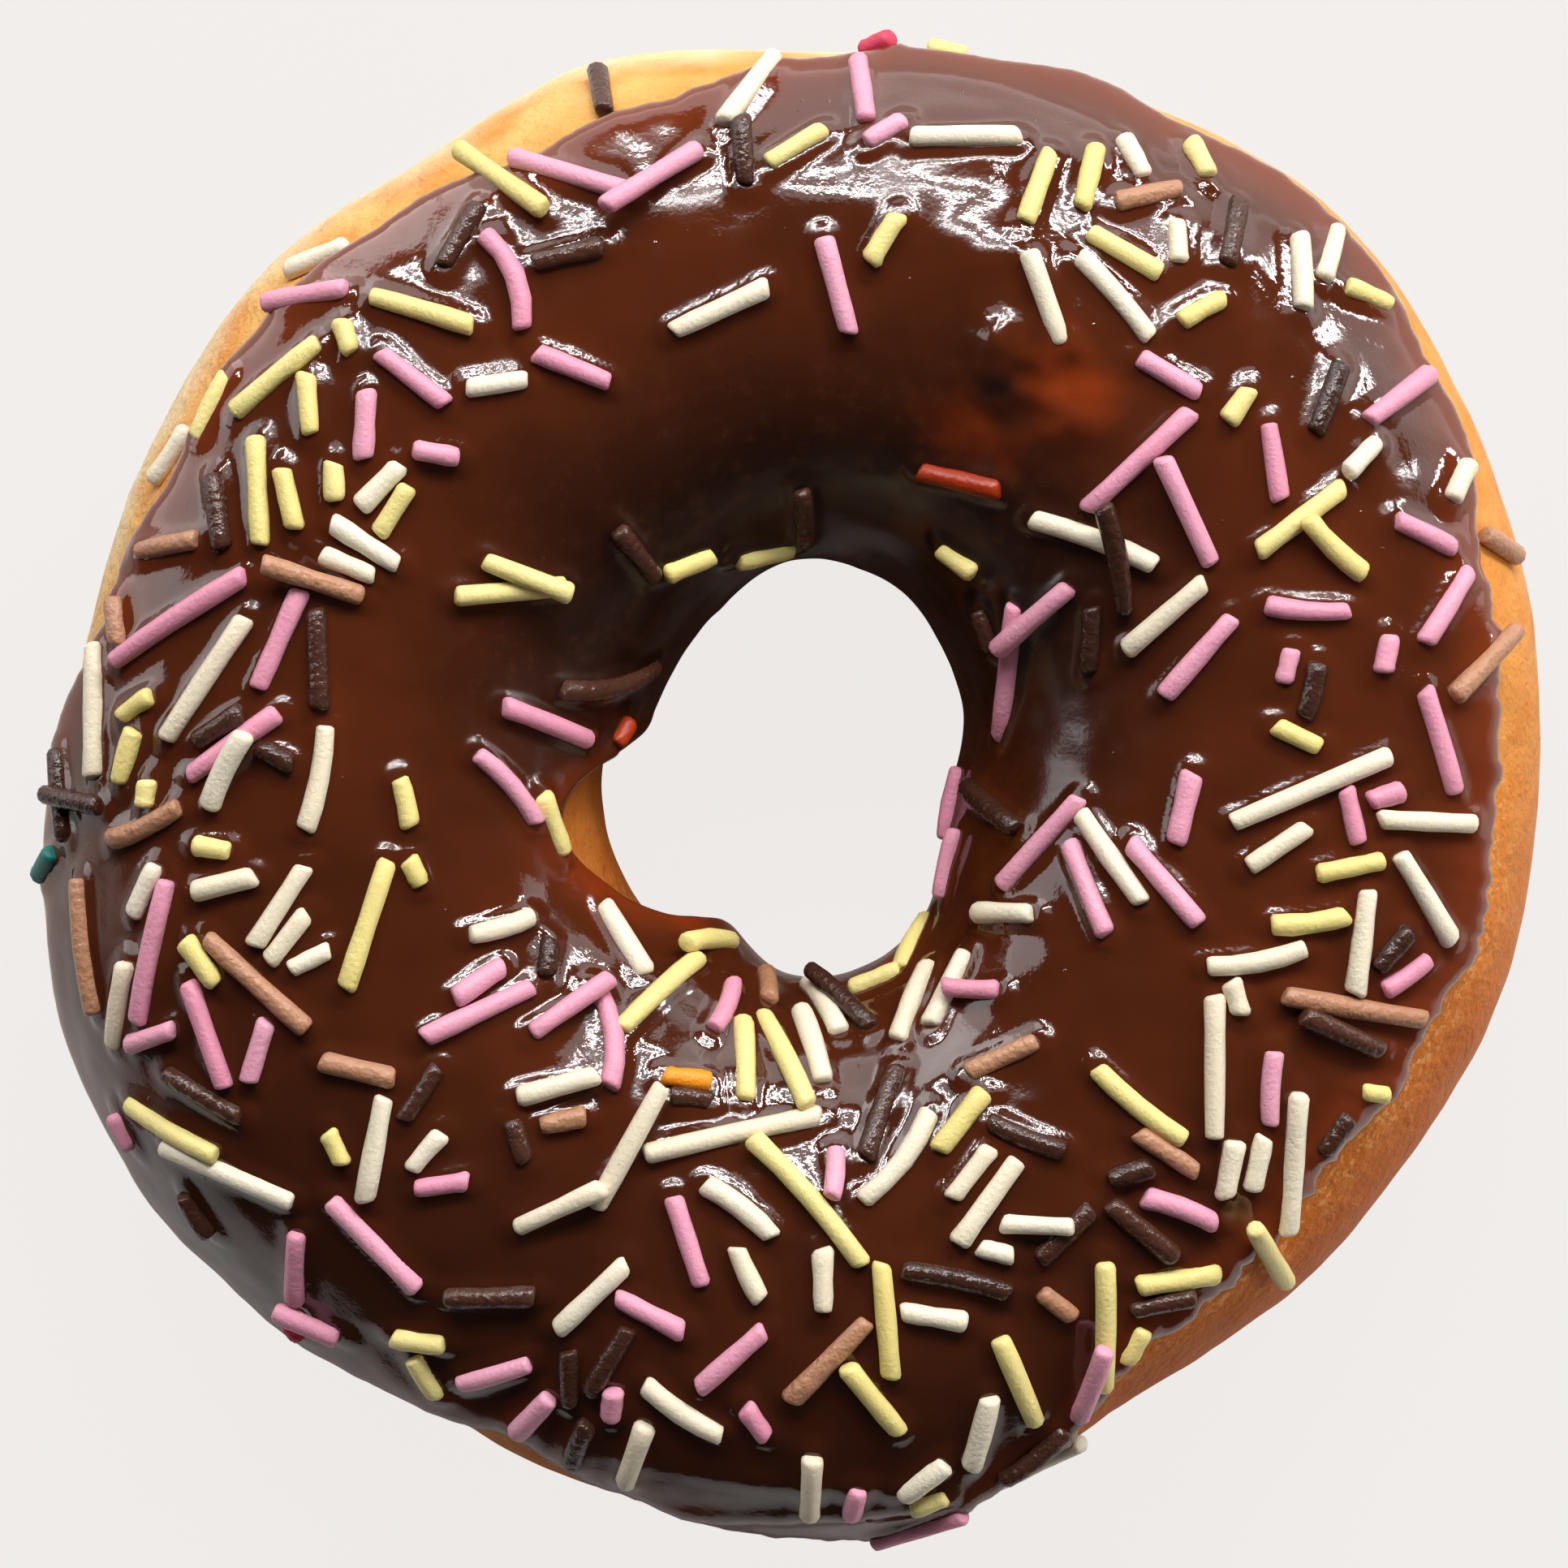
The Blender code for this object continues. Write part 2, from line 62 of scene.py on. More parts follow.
# Radii in millimetres at even steps, anticlockwise from +X.
DOUGH_RIM = (
    47.4, 48.4, 49.1, 50.2, 49.0, 47.6, 46.6, 47.5, 46.1, 46.7, 46.0, 45.5,
    45.6, 46.7, 46.5, 45.3, 45.3, 46.0, 46.2, 46.0, 44.4, 45.1, 45.8, 47.0,
)
DOUGH_HOLE = (
    12.2, 14.1, 15.0, 16.6, 15.8, 14.0, 12.4, 12.0,
    12.0, 12.0, 12.2, 11.8, 13.7, 14.3, 13.9, 12.1,
)
HALF_HEIGHT = 16.0
FLAT_SHARE = 0.95
SECTION_POWER = 0.9

# The icing stops at these leans: 0 faces outward, 90 faces up and 180 faces the hole.
ICING_OUTER_EDGE = (
    43, 43, 34, 30, 30, 28, 35, 50, 44, 42, 40, 34,
    15, 10, 5, 8, 28, 32, 18, 25, 42, 48, 48, 44,
)
ICING_INNER_EDGE = (198, 200, 198, 168, 190, 192, 148, 154, 182, 200, 200, 198)
ICING_THICKNESS = 1.5
ICING_LIP = 0.55
JOINT_GAP = 0.35
EDGE_WAVE = 2.0

# Swells of the icing: direction and lean in degrees, rise in millimetres, spread in degrees.
SWELLS = (
    (57, 96, 0.7, 12),
    (66, 84, 0.8, 7),
    (204, 146, -0.5, 14),
    (262, 44, 0.5, 16),
    (285, 30, 0.4, 14),
    (128, 60, 0.4, 18),
    (20, 70, 0.3, 22),
)
RIPPLE = 0.16
WELD = 0.001

# Sprinkles in each twelfth of the ring, anticlockwise from +X, on its outer and its inner half.
OUTER_COUNTS = (13, 16, 11, 8, 15, 22, 22, 15, 14, 19, 17, 16)
INNER_COUNTS = (4, 7, 3, 3, 3, 5, 5, 10, 12, 12, 7, 8)
KIND_SHARES = {"pink": 70, "cream": 60, "yellow": 52, "dark": 56, "milk": 22}
LENGTHS = {
    "pink": (2.0, 5.8),
    "cream": (2.2, 6.4),
    "yellow": (1.5, 5.4),
    "dark": (2.2, 5.8),
    "milk": (2.0, 5.6),
}
SPRINKLE_RADIUS = 0.65
SPRINKLE_SINK = 0.28
EDGE_MARGIN = 7.0
DEEPEST_LEAN = 158
MOST_SLOPE = 0.3
STEEPEST_BED = 0.35
LEAST_SEEN = 0.8
CROSSING_SHARE = 0.3
CRUST_MARGIN = 3.5
BENDS = (-0.06, 0.0, 0.0, 0.0, 0.0, 0.0, 0.07)
TRIES = 40
DRAPE = 0.6
MOST_FALLING = 0.1
REST_SHARE = 0.9
SEED = 12

# Sprinkles that stand out: kind, x and y in millimetres, heading in degrees, length and bend.
LANDMARKS = (
    ("cream", -3.6, -21.5, 12, 11.0, 0.0),
    ("cream", 31.7, -0.1, 23, 10.6, 0.0),
    ("yellow", 1.2, -25.3, 132, 10.3, 0.02),
    ("pink", -37.4, 10.3, 32, 9.9, 0.0),
    ("cream", -35.6, 6.6, 56, 9.0, 0.0),
    ("pink", -38.9, -10.0, 77, 9.0, 0.0),
    ("milk", 34.3, -13.4, 170, 9.0, 0.0),
    ("cream", -34.3, -23.4, 158, 8.9, 0.02),
    ("cream", 25.8, -17.0, 90, 8.8, 0.0),
    ("cream", 30.6, -22.9, 87, 8.8, 0.0),
    ("pink", 21.3, 20.0, 43, 8.8, 0.0),
    ("cream", -42.6, 4.7, 90, 8.4, 0.0),
    ("cream", -9.9, -22.1, 61, 8.5, 0.0),
    ("milk", -32.4, -11.9, 138, 8.4, 0.0),
    ("yellow", -25.9, -8.4, 72, 8.3, 0.0),
    ("cream", 18.8, 15.4, 159, 8.1, 0.03),
    ("yellow", 19.1, -32.9, 90, 8.1, 0.0),
    ("yellow", 29.3, -28.6, 123, 8.1, 0.0),
    ("pink", -13.4, 37.2, 162, 7.9, 0.0),
    ("pink", -25.3, -27.8, 134, 7.7, 0.0),
    ("pink", -8.4, 36.7, 38, 7.5, 0.0),
    ("pink", -19.2, -13.8, 25, 7.3, 0.0),
    ("pink", 24.2, 16.9, 115, 7.3, 0.0),
    ("pink", 15.8, -3.5, 49, 7.3, 0.0),
    ("yellow", 5.8, -32.4, 95, 7.2, 0.0),
    ("yellow", -17.6, 36.9, 143, 7.0, 0.0),
    ("yellow", 21.2, -19.5, 141, 7.0, -0.04),
    ("pink", -35.4, -15.0, 109, 6.9, 0.0),
    ("cream", 6.9, -23.0, 52, 6.9, 0.09),
    ("milk", 2.3, -34.8, 46, 6.9, 0.0),
    ("cream", 10.6, 39.5, 1, 6.8, 0.0),
    ("yellow", -31.1, 24.8, 39, 6.8, 0.0),
    ("pink", -33.9, 2.6, 35, 6.8, 0.0),
    ("yellow", -8.2, -12.9, 42, 6.7, 0.0),
    ("cream", 19.7, 29.8, 131, 6.7, 0.03),
    ("yellow", 31.0, 16.3, 37, 6.7, 0.0),
    ("yellow", -22.3, 28.8, 163, 6.6, 0.0),
    ("yellow", -0.4, -17.3, 114, 6.6, 0.0),
    ("cream", -28.7, 0.5, 79, 6.5, 0.05),
    ("cream", -4.3, 29.2, 25, 6.5, 0.0),
    ("pink", -16.7, 31.0, 112, 6.4, 0.16),
    ("pink", -11.0, -15.4, 99, 6.3, 0.12),
    ("pink", 2.8, 30.6, 105, 6.1, 0.0),
    ("cream", -2.5, 42.6, 55, 5.6, 0.0),
    ("pink", -22.9, 24.8, 142, 5.2, 0.0),
    ("pink", -3.6, -34.7, 42, 5.5, 0.0),
    ("pink", 10.7, -1.1, 0, 4.6, 0.0),
    ("pink", 10.4, -5.0, 175, 4.4, 0.0),
    ("yellow", 8.2, -10.3, 50, 4.4, 0.0),
    ("yellow", 5.6, -12.6, 168, 3.4, 0.0),
    ("orange", -6.5, -18.2, 172, 3.0, 0.0),
    ("teal", -46.0, -4.8, 55, 2.7, 0.0),
    ("crimson", -30.4, -33.2, 135, 1.4, 0.0),
    ("dark", -12.0, 44.2, 100, 4.2, 0.0),
    ("cream", -30.0, 33.6, 20, 4.2, 0.0),
    ("cream", -39.4, 21.1, 55, 4.0, 0.05),
    ("milk", 45.3, 15.4, 152, 3.6, 0.0),
    ("pink", 7.8, -45.1, 20, 6.0, 0.0),
    ("cream", 15.5, -42.2, 30, 6.0, 0.03),
    ("crimson", 5.5, 45.9, 160, 2.0, 0.0),
    ("yellow", 9.8, 45.9, 170, 2.4, 0.0),
    ("amber", 10.6, 19.1, 166, 5.2, 0.0),
    ("amber", -11.2, 3.6, 60, 1.6, 0.0),
    ("pink", 25.0, 8.0, 49, 6.4, 0.0),
    ("cream", 23.0, 10.5, 41, 6.4, 0.0),
    ("cream", 19.9, -4.4, 124, 6.6, 0.0),
    ("pink", 37.2, 23.9, 37, 5.3, 0.0),
    ("milk", 42.2, 7.6, 45, 6.1, 0.0),
    ("milk", -43.3, -9.8, 97, 8.5, 0.0),
    ("pink", 14.1, 7.4, 86, 8.3, 0.0),
    ("dark", -11.4, 6.4, 15, 7.4, 0.04),
    ("dark", 20.4, 14.2, 98, 7.1, 0.04),
    ("dark", 10.1, -29.9, 168, 6.8, 0.04),
    ("yellow", -32.3, 18.0, 93, 6.7, 0.0),
    ("yellow", -17.3, 12.1, 6, 6.7, 0.0),
    ("pink", 39.3, 2.8, 107, 6.7, 0.0),
    ("pink", -31.1, 9.0, 66, 6.6, 0.0),
    ("yellow", -37.7, -20.9, 154, 6.6, 0.0),
    ("cream", -25.3, -22.0, 79, 6.6, 0.0),
    ("cream", 34.6, -9.4, 83, 6.5, 0.0),
    ("pink", 23.0, -5.9, 130, 6.5, 0.0),
    ("milk", -29.0, 12.6, 162, 6.5, 0.0),
    ("cream", 38.5, -6.7, 122, 6.4, 0.0),
    ("dark", -28.8, 7.8, 92, 6.2, 0.0),
    ("pink", 18.5, -6.3, 111, 6.1, 0.0),
    ("cream", -12.1, -31.0, 44, 6.0, 0.0),
    ("yellow", 13.8, -36.1, 113, 6.0, 0.0),
    ("pink", -15.3, 4.0, 158, 5.8, 0.0),
    ("yellow", 5.0, -37.0, 127, 5.6, 0.0),
    ("pink", 15.5, 10.7, 43, 5.4, 0.0),
    ("yellow", -16.4, 13.1, 161, 5.4, 0.0),
    ("pink", -29.3, 29.7, 8, 5.3, 0.0),
    ("cream", 10.1, -12.9, 63, 5.1, 0.0),
    ("cream", -14.3, -18.4, 14, 5.1, 0.0),
    ("cream", 7.8, -13.7, 67, 5.0, 0.0),
    ("yellow", -5.5, -10.5, 17, 4.9, 0.0),
    ("pink", -13.3, 25.6, 158, 4.9, 0.0),
    ("yellow", 15.0, 36.4, 70, 4.8, 0.0),
    ("yellow", 18.1, 37.0, 76, 4.1, 0.0),
    ("dark", -2.9, 38.6, 94, 4.0, 0.0),
    ("cream", 13.6, -8.0, 0, 3.9, 0.0),
    ("dark", -9.7, 14.7, 128, 3.8, 0.0),
    ("yellow", -1.8, 15.2, 14, 3.5, 0.0),
    ("yellow", -6.6, 14.3, 23, 3.3, 0.0),
)

# How finely each skin is made.
DOUGH_STEPS = 480
DOUGH_ROWS = 128
ICING_STEPS = 640
ICING_ROWS = 152
ICING_OUTSIDE_ROWS = 142

# Relief of the crust and the icing: height and size, in millimetres.
CRUST_RELIEF = 0.14
CRUST_SIZE = 5.0
GLAZE_RELIEF = 0.15
GLAZE_SIZE = 6.0
GLAZE_RIPPLE = 0.06
GLAZE_RIPPLE_SIZE = 2.1

# How far the icing's edge and its underside are above the crust, the bead along its lip, and how
# high and how far out it climbs a sprinkle, in millimetres.
SEATED = -0.12
BURIED = -0.5
BEAD = 0.22
MENISCUS = 0.26
MENISCUS_REACH = 0.45

# The icing's outer edge is ragged, most towards one direction: the reach and direction in degrees,
# and the size in millimetres.
RAGGED = 2.6
RAGGED_LEAST = 0.7
RAGGED_DIRECTION = -38
RAGGED_SIZE = 1.5

# Flowing folds of the icing: start and end direction, lean and height, in degrees and millimetres.
FOLDS = (
    (228, 318, 34, 0.32),
    (240, 330, 22, 0.26),
    (250, 300, 46, 0.2),
    (20, 110, 47, 0.14),
    (15, 75, 62, 0.12),
    (95, 150, 52, 0.12),
    (215, 330, 124, 0.16),
    (200, 300, 138, 0.14),
)
FOLD_WIDTH = 3.6
FOLD_WANDER = 3

# Lumps where the icing tore and set again, and a dent under a sprinkle at its front edge: x, y,
# rise and spread in millimetres. Then the hollow that gets a painted shadow, and the wrinkles
# there: x, y and spread.
LUMPS = (
    (12.7, 27.2, 1.1, 1.9),
    (11.6, 24.2, 0.5, 1.5),
    (17.2, 27.6, 0.4, 1.2),
    (17.4, 22.6, 0.45, 1.3),
    (14.8, -42.6, -0.9, 2.6),
)
HOLLOW_SHADOW = (12.9, 24.4, 1.9)
WRINKLED = (14.6, 25.0, 5.0)
WRINKLE = 0.42
WRINKLE_SIZE = 1.6

# Painted shade darkens the icing down the slope into the hole: from which lean, and over how many
# degrees.
SHADE_START = 88
SHADE_REACH = 44

# Places where the icing is so thin that the crust glows through: direction, lean and spread.
THIN_PLACES = (
    (56, 97, 8),
    (64, 115, 9),
    (204, 150, 16),
    (186, 160, 9),
    (232, 166, 10),
    (300, 170, 8),
)

# A rod's rings near each end, with distance and width in radii, and the even ones between.
ROD_SIDES = 10
ROD_SIDE_LENGTH = 0.9
ROD_RINGS = ((0.0, 0.62), (0.16, 0.88), (0.5, 1.0))
MIDDLE_RINGS = 3
LAST_RING = 2 * len(ROD_RINGS) + MIDDLE_RINGS - 1
ROD_SLANT = 0.16
ROD_UNEVEN = 0.06
ROD_TAPER = 0.16
MARKS_EACH = 20

# Colours as the eye reads them, from 0 to 255.
CRUST_ORANGE = (210, 126, 48)
CRUST_GOLD = (222, 150, 72)
CRUST_PALE = (228, 180, 108)
CRUST_CREAM = (240, 226, 194)
CRUST_FRIED = (206, 112, 36)
CRUST_FLECK = (238, 172, 104)
# CRUST_DARK darkens the crust by the icing's edge, and on the front right it also carries painted
# shade.
CRUST_DARK = (184, 96, 36)
# The deeper brown of the painted shade inside the hole.
HOLE_PAINTED_SHADE = (158, 76, 18)
# The near black of the painted shade in the hole, and the dull flecks in it.
GLAZE_PAINTED_SHADE = (22, 10, 5)
GLAZE_DULL = (62, 38, 18)
GLAZE_DARK = (53, 23, 10)
GLAZE_BROWN = (95, 41, 17)
# The darker icing of the painted shade on the front slope.
GLAZE_FRONT_SHADE = (44, 20, 9)
GLAZE_WARM = (126, 52, 22)
GLAZE_THIN = (128, 48, 14)
SPRINKLE_COLOURS = {
    "pink": ((232, 166, 186), (216, 134, 158), 0.36),
    "cream": ((238, 228, 206), (226, 210, 180), 0.36),
    "yellow": ((238, 222, 148), (224, 204, 120), 0.36),
    "dark": ((80, 48, 36), (48, 27, 20), 0.14),
    "milk": ((188, 138, 106), (160, 110, 80), 0.3),
    "orange": ((250, 160, 40), (240, 140, 20), 0.4),
    "teal": ((20, 130, 125), (10, 110, 105), 0.4),
    "crimson": ((210, 60, 90), (190, 50, 80), 0.4),
    "amber": ((180, 58, 18), (140, 40, 12), 0.15),
}
ROUGH_KINDS = {"dark", "milk"}

BACKDROP = (241, 238, 235)
OVERHEAD = (44, 44, 46)
FAR_SIDE = (54, 50, 47)
FLOOR_COLOUR = (54, 53, 52)
FLOOR_GLOW = 0.955
BOUNCE_COLOUR = (228, 224, 220)
BOUNCE_DEPTH = 0.002
FLOOR_HALF = 3.0
MATT = {"Roughness": 0.9, "Specular_IOR_Level": 0.0}
TARGET = Vector((0, 0, 0.017))
CAMERA_PLACE = (-0.0004, 0.0002, 0.45)
CAMERA_LENS = 157.0

# Lights: name, azimuth and elevation in degrees, width and height in metres, power in watts.
LIGHTS = (
    ("pane_left", 122, 40, 0.4, 0.03, 2.2),
    ("pane_back_low", 92, 47, 0.6, 0.025, 3.2),
    ("pane_back_high", 92, 55, 0.6, 0.02, 2.2),
    ("pane_right_low", 62, 35, 0.45, 0.028, 3.1),
    ("pane_right_high", 62, 42, 0.45, 0.02, 2.0),
    ("pane_far_right", 38, 20, 0.3, 0.03, 1.8),
    ("soft_sky", 92, 51, 1.0, 0.35, 1.8),
    ("soft_right", -8, 28, 0.6, 0.5, 2.8),
    ("horizon_left", 145, 14, 1.1, 0.56, 4.4),
    ("horizon_back", 98, 14, 1.2, 0.56, 4.4),
    ("horizon_right", 40, 10, 1.0, 0.4, 1.7),
)
ONLY_LIGHTS = {"soft_right"}
ONLY_REFLECTS = {"horizon_left", "horizon_back", "horizon_right"}
LIGHT_DISTANCE = 1.0


def closed_curve(values, turn):
    """A smooth closed curve through even steps of a full turn, read at any share of it."""
    place = (turn % 1.0) * len(values)
    first = int(place)
    part = place - first
    before, start, end, after = (values[(first + step) % len(values)] for step in (-1, 0, 1, 2))
    rising = end - before
    bending = 2 * before - 5 * start + 4 * end - after
    turning = 3 * start - before - 3 * end + after
    return 0.5 * (2 * start + part * (rising + part * (bending + part * turning)))


@functools.cache
def section(turn):
    """The middle radius and half width of the ring's section."""
    rim = closed_curve(DOUGH_RIM, turn)
    hole = closed_curve(DOUGH_HOLE, turn)
    return (rim + hole) / 2, (rim - hole) / 2


def squared(value):
    return math.copysign(abs(value) ** SECTION_POWER, value)


def skin(turn, lean, raised=0.0):
    """The point raised above the dough at a share of a turn and a lean in degrees."""
    middle, half_width = section(turn)
    across = (half_width + raised) * squared(math.cos(math.radians(lean)))
    up = (HALF_HEIGHT + raised) * squared(math.sin(math.radians(lean)))
    up = max(up, -FLAT_SHARE * HALF_HEIGHT)
    up += FLAT_SHARE * HALF_HEIGHT
    around = math.tau * turn
    radius = middle + across
    return Vector((radius * math.cos(around), radius * math.sin(around), up))


@functools.cache
def outer_edge(turn):
    wave = EDGE_WAVE * math.sin(math.tau * 23 * turn) * math.sin(math.tau * 4 * turn)
    return closed_curve(ICING_OUTER_EDGE, turn) + wave


@functools.cache
def inner_edge(turn):
    wave = EDGE_WAVE * math.sin(math.tau * 9 * turn)
    return closed_curve(ICING_INNER_EDGE, turn) + wave


def swell(turn, lean):
    """How far the icing stands above its even thickness."""
    rise = RIPPLE * math.sin(math.tau * 5 * turn + math.radians(2 * lean))
    for direction, middle_lean, height, spread in SWELLS:
        around = (360 * turn - direction + 180) % 360 - 180
        rise += height * math.exp(-(around ** 2 + (lean - middle_lean) ** 2) / spread ** 2)
    return rise


def icing_top(turn, lean):
    """The height of the icing's outer skin above the dough, with a round lip at its edges."""
    from_edge = min(lean - outer_edge(turn), inner_edge(turn) - lean)
    share = max(0.0, min(1.0, from_edge / EDGE_MARGIN))
    lip = math.sqrt(1 - (1 - share) ** 2)
    full = ICING_THICKNESS + swell(turn, lean)
    return JOINT_GAP + ICING_LIP + (full - ICING_LIP) * lip


def icing_point(turn, lean):
    return skin(turn, lean, icing_top(turn, lean))


def surface_frame(bed, turn, lean):
    """A point on a surface with its outward, around and across directions."""
    step = 0.004
    point = bed(turn, lean)
    around = (bed(turn + step, lean) - bed(turn - step, lean)).normalized()
    across = bed(turn, lean + 360 * step) - bed(turn, lean - 360 * step)
    outward = around.cross(across).normalized()
    return point, outward, around, outward.cross(around)


def place_above(x, y, thickness=ICING_THICKNESS):
    """The share of a turn and the lean of the surface seen from above at x and y."""
    turn = math.atan2(y, x) / math.tau % 1.0
    middle, half_width = section(turn)
    reach = (math.hypot(x, y) - middle) / (half_width + thickness)
    reach = max(-1.0, min(1.0, reach))
    straight = math.copysign(abs(reach) ** (1 / SECTION_POWER), reach)
    return turn, math.degrees(math.acos(straight))


class Sprinkle:
    """A rod on the icing or the crust, with its heading and length as seen from above."""

    def __init__(self, kind, place, heading, length, bend, radius):
        turn, lean = place
        self.on_crust = lean < outer_edge(turn) - CRUST_MARGIN
        self.bed = skin if self.on_crust else icing_point
        point, self.outward, around, across = surface_frame(self.bed, turn, lean)
        if self.outward.z > STEEPEST_BED:
            along = Vector((math.cos(heading), math.sin(heading), 0.0))
            along.z = -along.dot(self.outward) / self.outward.z
        else:
            along = around * math.cos(heading) + across * math.sin(heading)
        self.kind = kind
        self.turn = turn
        self.lean = lean
        self.along = along.normalized()
        self.length = length / max(LEAST_SEEN, self.along.xy.length)
        self.radius = radius
        self.aside = self.outward.cross(self.along)
        self.middle = point + self.outward * (radius - SPRINKLE_SINK)
        self.curve = self.aside * bend
        falling = self.falling()
        drape = DRAPE if on_icing(self) else 0.0
        self.curve -= self.outward * falling * drape
        self.hover = falling * (1 - drape) * self.length ** 2 / 8

    def falling(self):
        """How fast the surface falls away from a straight line along the rod."""
        reach = 2.0
        falls = []
        for side in (-reach, reach):
            x, y, _ = self.middle + self.along * side
            below = self.bed(*place_above(x, y))
            falls.append((self.middle - below).dot(self.outward))
        fall = sum(falls) / 2 + SPRINKLE_SINK - self.radius
        return max(0.0, min(MOST_FALLING, 2 * fall / reach ** 2))

    def at(self, share):
        """The centre line at a share from one end to the other."""
        reach = (share - 0.5) * self.length
        return self.middle + self.along * reach + self.curve * (reach * reach / 2)

    def direction(self, share):
        return (self.along + self.curve * ((share - 0.5) * self.length)).normalized()

    def settle(self, others):
        """Tilt the rod up until it rests on those it crosses. False if that is too steep."""
        rises = {-1: 0.0, 1: 0.0}
        for other in others:
            if (other.middle - self.middle).length > (other.length + self.length) / 2 + 2:
                continue
            for step in range(13):
                apart = other.at(step / 12) - self.middle
                along = apart.dot(self.along)
                aside = apart.dot(self.aside)
                up = apart.dot(self.outward)
                touch = (other.radius + self.radius) * REST_SHARE
                if abs(aside) > touch or abs(along) > self.length / 2 + other.radius:
                    continue
                needed = up + math.sqrt(touch * touch - aside * aside) + self.hover
                for side in rises:
                    arm = max(0.2, self.length / 2 + side * along)
                    rises[side] = max(rises[side], needed / arm)
        side = min(rises, key=rises.get)
        slope = rises[side]
        if slope > MOST_SLOPE:
            return False
        if slope > 0:
            self.middle += self.outward * (slope * self.length / 2 - self.hover)
            self.along = (self.along + self.outward * (slope * side)).normalized()
            self.outward = self.along.cross(self.aside)
        return True


def rod_point(sprinkle, share, aside, up):
    """A point beside the sprinkle's centre line, in millimetres."""
    forward = sprinkle.direction(share)
    side = sprinkle.outward.cross(forward).normalized()
    return sprinkle.at(share) + side * aside + forward.cross(side) * up


def on_icing(sprinkle):
    """True if both ends of the rod lie over the icing."""
    for share in (0.0, 1.0):
        x, y, _ = sprinkle.at(share)
        if math.hypot(x, y) > section(sprinkle.turn)[0] + section(sprinkle.turn)[1] + 0.6:
            return False
        turn, lean = place_above(x, y)
        if not outer_edge(turn) + EDGE_MARGIN / 2 < lean < inner_edge(turn) - EDGE_MARGIN / 2:
            return False
    return True


def landmark_sprinkles():
    found = []
    for kind, x, y, heading, length, bend in LANDMARKS:
        place = place_above(x, y)
        sprinkle = Sprinkle(kind, place, math.radians(heading), length, bend, SPRINKLE_RADIUS)
        sprinkle.settle(found)
        found.append(sprinkle)
    return found


def cell_of(sprinkle):
    return int(sprinkle.turn * len(OUTER_COUNTS)), sprinkle.lean < 90


def free_cells(found):
    """One entry for each sprinkle still to be scattered: its twelfth and its half."""
    cells = []
    for outer, counts in ((True, OUTER_COUNTS), (False, INNER_COUNTS)):
        for twelfth, count in enumerate(counts):
            taken = sum(cell_of(sprinkle) == (twelfth, outer) for sprinkle in found)
            cells += [(twelfth, outer)] * max(0, count - taken)
    return cells


def draw_place(draw, cell):
    twelfth, outer = cell
    turn = (twelfth + draw.random()) / len(OUTER_COUNTS)
    start = outer_edge(turn) + EDGE_MARGIN if outer else 90.0
    end = 90.0 if outer else min(DEEPEST_LEAN, inner_edge(turn) - EDGE_MARGIN)
    return turn, start + (end - start) * draw.random()


def scattered_sprinkles():
    """All the sprinkles: those that stand out, then the drawn ones from the longest down."""
    draw = random.Random(SEED)
    found = landmark_sprinkles()
    cells = free_cells(found)
    draw.shuffle(cells)
    kinds = draw.choices(list(KIND_SHARES), KIND_SHARES.values(), k=len(cells))
    sizes = [(draw.uniform(*LENGTHS[kind]), kind) for kind in kinds]
    for (length, kind), cell in zip(sorted(sizes, reverse=True), cells):
        bend = draw.choice(BENDS)
        radius = SPRINKLE_RADIUS * draw.uniform(0.92, 1.08)
        crossing = draw.random() < CROSSING_SHARE
        for _ in range(TRIES):
            place = draw_place(draw, cell)
            sprinkle = Sprinkle(kind, place, draw.uniform(0, math.pi), length, bend, radius)
            resting = sprinkle.middle.copy()
            if not on_icing(sprinkle) or not sprinkle.settle(found):
                continue
            if crossing or (sprinkle.middle - resting).length < 0.05:
                found.append(sprinkle)
                break
    return found


def ring_places(shape, steps_around, rows):
    """A grid rolled up into a ring: each corner with its share of the turn and its row."""
    bmesh.ops.create_grid(shape, x_segments=steps_around, y_segments=rows, size=0.5)
    for vert in shape.verts:
        step = round((vert.co.x + 0.5) * steps_around) % steps_around
        row = round((vert.co.y + 0.5) * rows) % rows
        yield vert, step / steps_around, row


def finished_piece(name, shape, finish):
    """A mesh object from a shape, smooth, with one finish, riding on the doughnut."""
    bmesh.ops.remove_doubles(shape, verts=shape.verts, dist=WELD * MM)
    bmesh.ops.recalc_face_normals(shape, faces=shape.faces)
    mesh = bpy.data.meshes.new(name)
    shape.to_mesh(mesh)
    shape.free()
    mesh.shade_smooth()
    mesh.materials.append(finish)
    piece = bpy.data.objects.new(name, mesh)
    bpy.context.scene.collection.objects.link(piece)
    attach(piece, "root")
    return piece


def crust_relief(turn, lean):
    point = skin(turn, lean) / CRUST_SIZE
    return CRUST_RELIEF * (noise.noise(point) + 0.5 * noise.noise(point * 2.3))


def dough_piece():
    shape = bmesh.new()
    beyond = shape.verts.layers.float.new("beyond_icing")
    in_hole = shape.verts.layers.float.new("in_hole")
    for vert, turn, row in ring_places(shape, DOUGH_STEPS, DOUGH_ROWS):
        lean = 360 * row / DOUGH_ROWS
        outside = min((lean - inner_edge(turn)) % 360, (outer_edge(turn) - lean) % 360)
        vert[beyond] = outside if inner_edge(turn) < lean or lean < outer_edge(turn) else 0
        # How far the crust faces into the hole, which the crust finish darkens with painted shade.
        vert[in_hole] = max(0.0, -math.cos(math.radians(lean)))
        vert.co = skin(turn, lean, crust_relief(turn, lean)) * MM
    return finished_piece("crust", shape, crust_finish())


